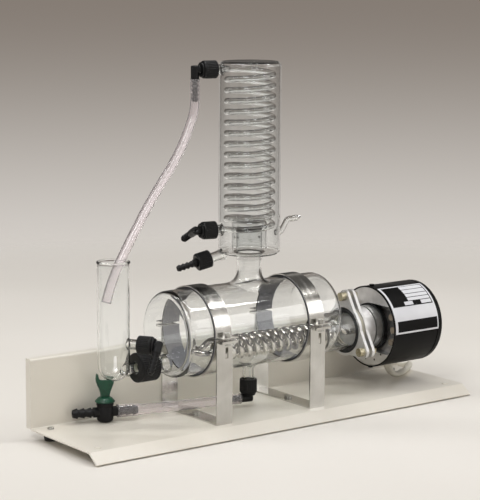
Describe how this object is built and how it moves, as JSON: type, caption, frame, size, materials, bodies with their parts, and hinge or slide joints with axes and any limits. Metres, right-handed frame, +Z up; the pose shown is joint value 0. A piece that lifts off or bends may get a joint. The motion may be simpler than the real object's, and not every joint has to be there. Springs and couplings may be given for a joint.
{
  "type": "glass water distiller",
  "caption": "Horizontal glass boiler with a drum heater, upright coil condenser, level tube and hoses on a folded sheet-metal tray",
  "frame": {"origin": "middle of the footprint at the soles of the feet, on the bench", "axes": "+X along the tray from the level tube towards the heater drum, +Y to the back panel, +Z up"},
  "size_m": [0.5986, 0.3292, 0.4213],
  "materials": {
    "base_tray": "cream gloss powder coat",
    "rubber_feet": "matt black",
    "foot_screws": "zinc plated",
    "left_bracket": "bright plated flat bar",
    "right_bracket": "bright plated flat bar",
    "bracket_screws": "zinc plated",
    "left_lower_strap": "bright plated strip",
    "right_lower_strap": "bright plated strip",
    "left_upper_strap": "bright plated strip",
    "right_upper_strap": "bright plated strip",
    "strap_linings": "matt black",
    "strap_screws": "bright",
    "strap_nuts": "bright",
    "boiler_glass": "clear borosilicate",
    "condenser_jacket": "clear borosilicate",
    "vapour_riser": "clear borosilicate",
    "splash_cap": "clear borosilicate",
    "condenser_coil": "clear borosilicate",
    "outlet_cap": "black ribbed",
    "outlet_elbow": "black",
    "inlet_cap": "black ribbed",
    "inlet_elbow": "black",
    "distillate_cap": "black ribbed",
    "distillate_connector": "black",
    "fitting_seals": "pale silicone",
    "level_tube": "clear borosilicate",
    "feed_cap": "black ribbed",
    "feed_seal": "pale silicone",
    "overflow_cap": "black ribbed",
    "overflow_elbow": "black",
    "cooling_hose": "clear flexible tubing",
    "drain_cap": "black ribbed",
    "drain_elbow": "black",
    "drain_hose": "clear flexible tubing",
    "valve_body": "black",
    "valve_plug": "dark green",
    "valve_handle": "dark green",
    "heater_coil": "bright plated tube",
    "flange_plate": "plated",
    "flange_insert": "matt black",
    "heater_gasket": "dark silicone",
    "heater_flange": "plated",
    "head_seal": "matt black",
    "clamp_ring": "turned",
    "flange_bolts": "bright",
    "flange_nuts": "bright",
    "heater_cover": "black moulded, satin gloss",
    "terminal_chassis": "cream moulded",
    "terminals": "grey-brown",
    "cutout": "black",
    "cover_screws": "zinc plated",
    "rating_plate": "pale grey film, blank",
    "cable_relief": "cream",
    "mains_cable": "cream sheath",
    "cable_coil": "cream sheath",
    "cable_tie": "black",
    "plug_body": "cream moulded",
    "plug_pins": "bright"
  },
  "bodies": {
    "frame": {"base_tray": "base_tray", "rubber_feet": "rubber_feet", "foot_screws": "foot_screws", "left_bracket": "left_bracket", "right_bracket": "right_bracket", "bracket_screws": "bracket_screws", "left_lower_strap": "left_lower_strap", "right_lower_strap": "right_lower_strap", "left_upper_strap": "left_upper_strap", "right_upper_strap": "right_upper_strap", "strap_linings": "strap_linings", "strap_screws": "strap_screws", "strap_nuts": "strap_nuts", "boiler_glass": "boiler_glass", "condenser_jacket": "condenser_jacket", "vapour_riser": "vapour_riser", "splash_cap": "splash_cap", "condenser_coil": "condenser_coil", "outlet_elbow": "outlet_elbow", "distillate_connector": "distillate_connector", "fitting_seals": "fitting_seals", "level_tube": "level_tube", "feed_seal": "feed_seal", "cooling_hose": "cooling_hose", "drain_elbow": "drain_elbow", "drain_hose": "drain_hose", "valve_body": "valve_body", "heater_coil": "heater_coil", "flange_plate": "flange_plate", "flange_insert": "flange_insert", "heater_gasket": "heater_gasket", "heater_flange": "heater_flange", "head_seal": "head_seal", "clamp_ring": "clamp_ring", "flange_bolts": "flange_bolts", "flange_nuts": "flange_nuts", "heater_cover": "heater_cover", "terminal_chassis": "terminal_chassis", "terminals": "terminals", "cutout": "cutout", "cover_screws": "cover_screws", "rating_plate": "rating_plate", "cable_relief": "cable_relief", "mains_cable": "mains_cable", "cable_coil": "cable_coil", "cable_tie": "cable_tie", "plug_body": "plug_body", "plug_pins": "plug_pins"},
    "valve": {"valve_plug": "valve_plug", "valve_handle": "valve_handle"},
    "outlet_cap": {"outlet_cap": "outlet_cap"},
    "inlet_cap": {"inlet_cap": "inlet_cap"},
    "inlet_elbow": {"inlet_elbow": "inlet_elbow"},
    "distillate_cap": {"distillate_cap": "distillate_cap"},
    "drain_cap": {"drain_cap": "drain_cap"},
    "feed_cap": {"feed_cap": "feed_cap"},
    "overflow_cap": {"overflow_cap": "overflow_cap"},
    "overflow_elbow": {"overflow_elbow": "overflow_elbow"}
  },
  "joints": [
    {"name": "valve_turn", "type": "hinge", "parent": "frame", "child": "valve", "pos_m": [-0.1885, 0.0438, 0.0245], "axis": [0, 0, 1], "range_deg": [0, 90]},
    {"name": "inlet_swivel", "type": "hinge", "parent": "frame", "child": "inlet_elbow", "pos_m": [-0.0788, 0.02181, 0.226], "axis": [-0.9781, 0.2079, 0], "range_deg": [-110, 20]},
    {"name": "overflow_swivel", "type": "hinge", "parent": "frame", "child": "overflow_elbow", "pos_m": [-0.1696, -0.03602, 0.1125], "axis": [0.5736, -0.8191, 0], "range_deg": [-45, 90]},
    {"name": "outlet_cap_turn", "type": "hinge", "parent": "frame", "child": "outlet_cap", "pos_m": [-0.06, 0.01782, 0.411], "axis": [-0.9781, 0.2079, 0], "range_deg": [0, 360]},
    {"name": "inlet_cap_turn", "type": "hinge", "parent": "frame", "child": "inlet_cap", "pos_m": [-0.06, 0.01782, 0.226], "axis": [-0.9781, 0.2079, 0], "range_deg": [0, 360]},
    {"name": "distillate_cap_turn", "type": "hinge", "parent": "frame", "child": "distillate_cap", "pos_m": [-0.04426, 0.01447, 0.1971], "axis": [-0.9511, 0.2022, -0.2334], "range_deg": [0, 360]},
    {"name": "drain_cap_turn", "type": "hinge", "parent": "frame", "child": "drain_cap", "pos_m": [-0.011, 0.0074, 0.04], "axis": [0, 0, -1], "range_deg": [0, 360]},
    {"name": "feed_cap_turn", "type": "hinge", "parent": "frame", "child": "feed_cap", "pos_m": [-0.155, 0.0074, 0.08], "axis": [-1, 0, 0], "range_deg": [0, 360]},
    {"name": "overflow_cap_turn", "type": "hinge", "parent": "frame", "child": "overflow_cap", "pos_m": [-0.1829, -0.01698, 0.1125], "axis": [0.5736, -0.8191, 0], "range_deg": [0, 360]}
  ]
}
